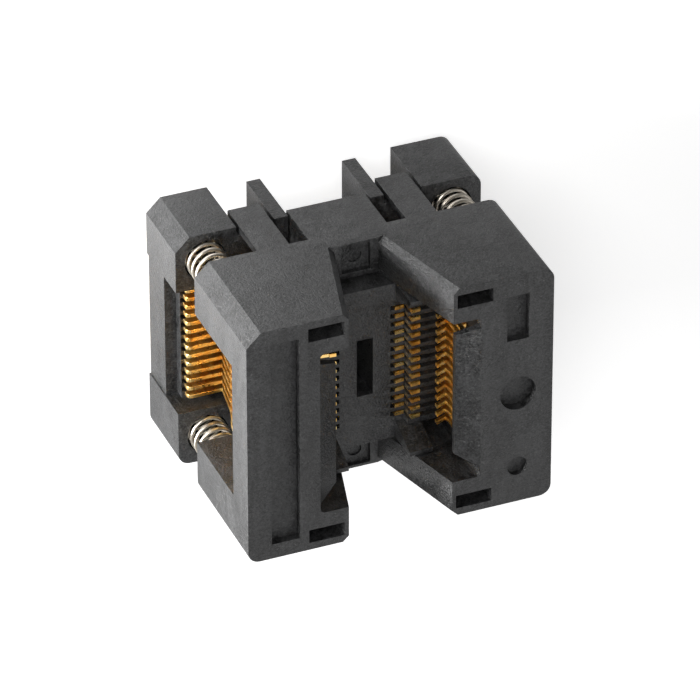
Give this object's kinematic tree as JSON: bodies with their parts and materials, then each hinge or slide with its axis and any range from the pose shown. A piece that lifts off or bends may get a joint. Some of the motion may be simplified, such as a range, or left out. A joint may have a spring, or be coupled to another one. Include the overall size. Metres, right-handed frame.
{
  "type": "ic socket",
  "caption": "Open-top clamping socket for a small-outline package: a sprung cover slides down over an H-shaped base, and its sloping lips open rows of gold spring contacts.",
  "frame": {"origin": "on the seating plane, at the centre of the tail pattern", "axes": "+Z away from the board towards the cover's top face, +Y along the contact rows towards the pin-one end, +X across the rows"},
  "size_m": [0.0216, 0.0176, 0.0205],
  "materials": {
    "plastic": "moulded glass-filled plastic, matte",
    "gold": "gold plate on stamped spring strip",
    "spring_steel": "bright drawn spring wire"
  },
  "bodies": {
    "base": {"base": "plastic", "package_seat": "plastic", "return_spring_1": "spring_steel", "return_spring_2": "spring_steel", "return_spring_3": "spring_steel", "return_spring_4": "spring_steel", "contact_l01": "gold", "contact_l02": "gold", "contact_l03": "gold", "contact_l04": "gold", "contact_l05": "gold", "contact_l06": "gold", "contact_l07": "gold", "contact_l08": "gold", "contact_l09": "gold", "contact_l10": "gold", "contact_l11": "gold", "contact_l12": "gold", "contact_l13": "gold", "contact_l14": "gold", "contact_r01": "gold", "contact_r02": "gold", "contact_r03": "gold", "contact_r04": "gold", "contact_r05": "gold", "contact_r06": "gold", "contact_r07": "gold", "contact_r08": "gold", "contact_r09": "gold", "contact_r10": "gold", "contact_r11": "gold", "contact_r12": "gold", "contact_r13": "gold", "contact_r14": "gold"},
    "cover": {"cover": "plastic"}
  },
  "joints": [
    {"name": "cover_press", "type": "slide", "parent": "base", "child": "cover", "axis": [0, 0, -1], "range_m": [0, 0.0031], "stiffness_N_per_m": 1050, "springref_m": -0.0025, "deforming": ["return_spring_1", "return_spring_2", "return_spring_3", "return_spring_4", "contact_l01", "contact_l02", "contact_l03", "contact_l04", "contact_l05", "contact_l06", "contact_l07", "contact_l08", "contact_l09", "contact_l10", "contact_l11", "contact_l12", "contact_l13", "contact_l14", "contact_r01", "contact_r02", "contact_r03", "contact_r04", "contact_r05", "contact_r06", "contact_r07", "contact_r08", "contact_r09", "contact_r10", "contact_r11", "contact_r12", "contact_r13", "contact_r14"]}
  ]
}
